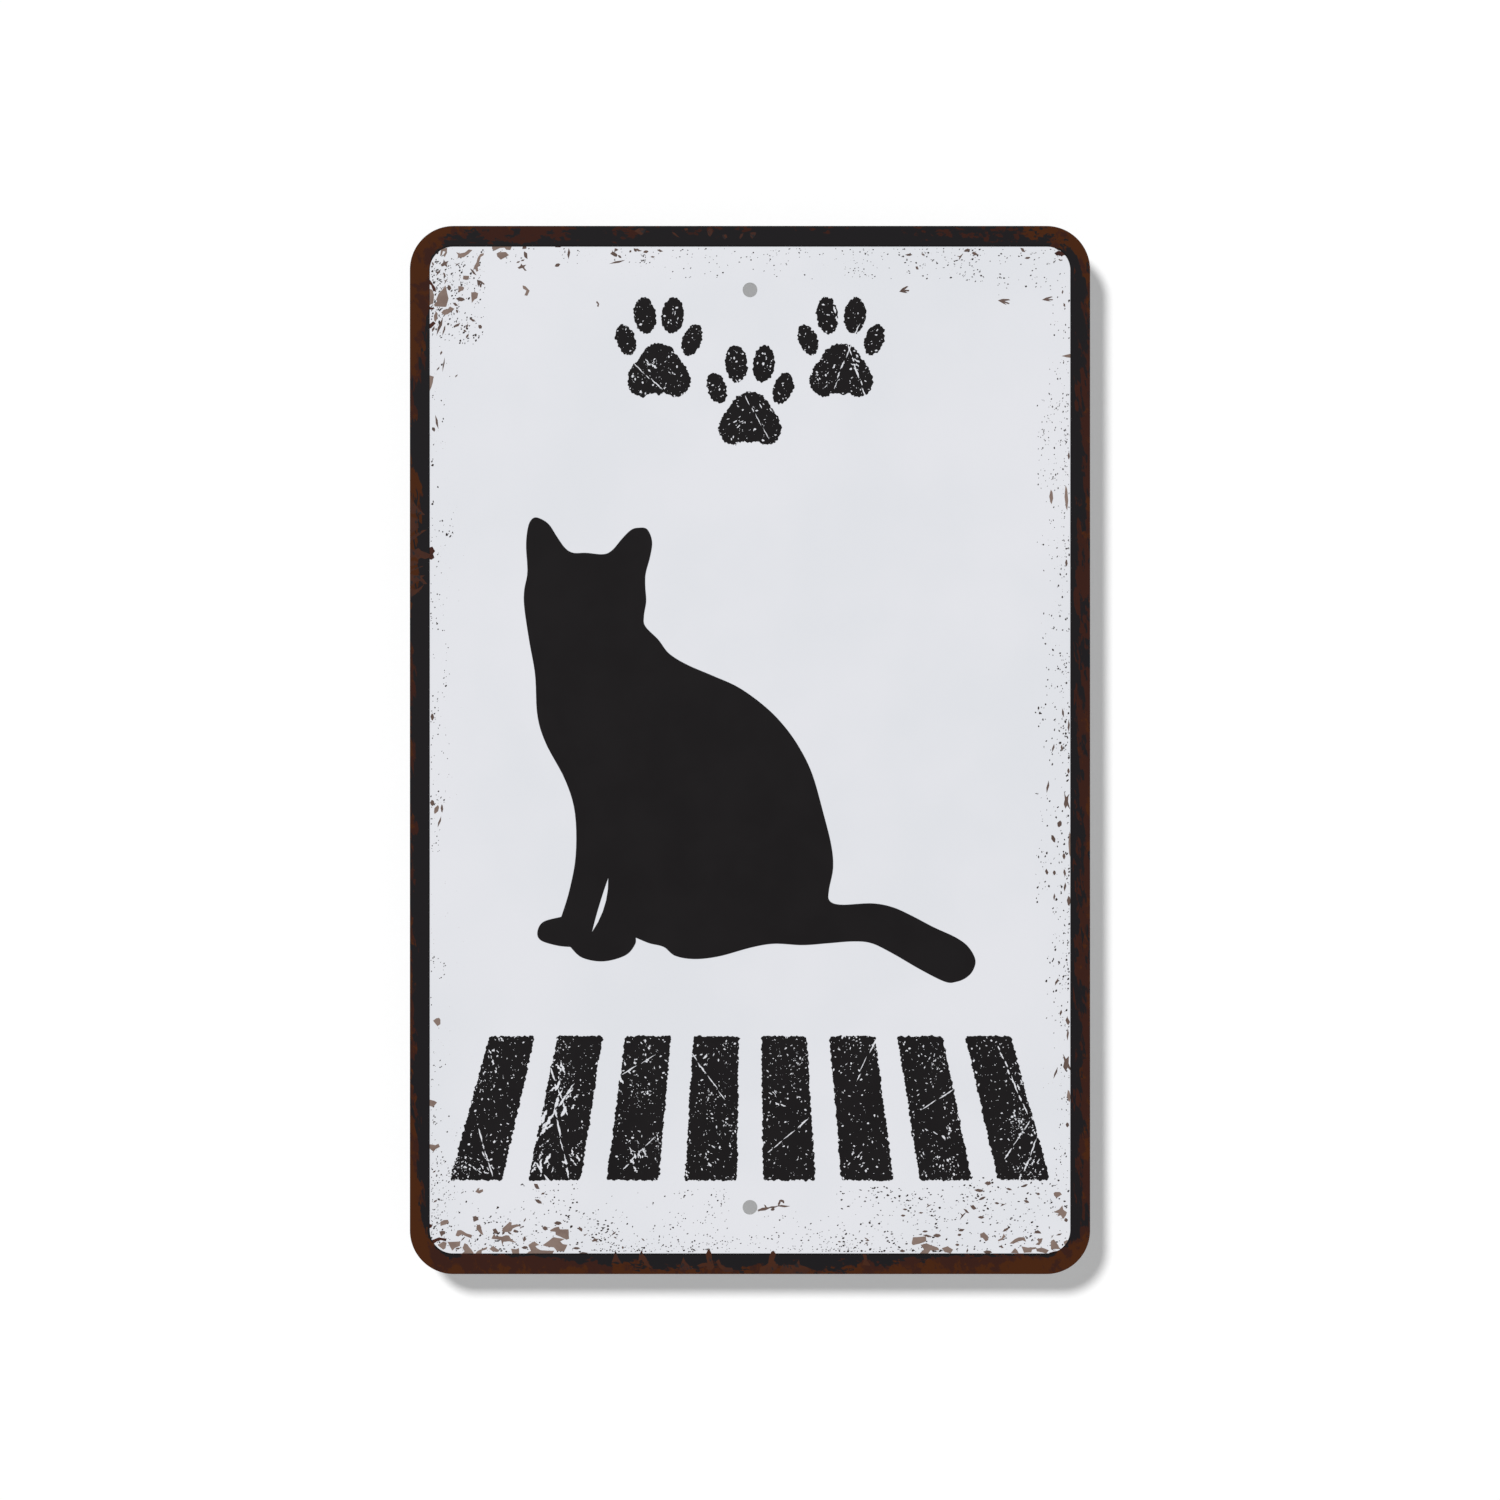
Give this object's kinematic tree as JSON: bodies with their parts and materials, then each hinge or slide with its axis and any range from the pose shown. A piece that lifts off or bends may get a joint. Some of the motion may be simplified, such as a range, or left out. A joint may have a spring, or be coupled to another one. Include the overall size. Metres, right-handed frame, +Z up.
{
  "type": "cat crossing sign",
  "caption": "Upright rounded metal wall sign with a dark border, a seated cat, paw prints, crossing bars and a screw hole near each end.",
  "frame": {"origin": "middle of the sheet's flat back face, which lies on the wall", "axes": "+Z up along the long side, towards the cat's ears; +X to the viewer's right; +Y into the wall, so the printed face looks towards -Y"},
  "size_m": [0.1978, 0.0011, 0.3048],
  "materials": {
    "aluminium": "mill-finish rolled aluminium sheet, bare on the back and on the cut edge",
    "white_coat": "satin cool-white paint film with printed chips and specks of grey brown",
    "border_ink": "satin black ink with rust-brown patches, strongest at the corners",
    "black_ink": "satin black ink with rough edges and worn flecks"
  },
  "bodies": {
    "root": {"aluminium_sheet": "aluminium", "white_base_coat": "white_coat", "border_ink": "border_ink", "cat_silhouette_ink": "black_ink", "left_paw_heel_pad_ink": "black_ink", "left_paw_toe_pad_1_ink": "black_ink", "left_paw_toe_pad_2_ink": "black_ink", "left_paw_toe_pad_3_ink": "black_ink", "left_paw_toe_pad_4_ink": "black_ink", "middle_paw_heel_pad_ink": "black_ink", "middle_paw_toe_pad_1_ink": "black_ink", "middle_paw_toe_pad_2_ink": "black_ink", "middle_paw_toe_pad_3_ink": "black_ink", "middle_paw_toe_pad_4_ink": "black_ink", "right_paw_heel_pad_ink": "black_ink", "right_paw_toe_pad_1_ink": "black_ink", "right_paw_toe_pad_2_ink": "black_ink", "right_paw_toe_pad_3_ink": "black_ink", "right_paw_toe_pad_4_ink": "black_ink", "crossing_bar_1_ink": "black_ink", "crossing_bar_2_ink": "black_ink", "crossing_bar_3_ink": "black_ink", "crossing_bar_4_ink": "black_ink", "crossing_bar_5_ink": "black_ink", "crossing_bar_6_ink": "black_ink", "crossing_bar_7_ink": "black_ink", "crossing_bar_8_ink": "black_ink"}
  },
  "joints": []
}
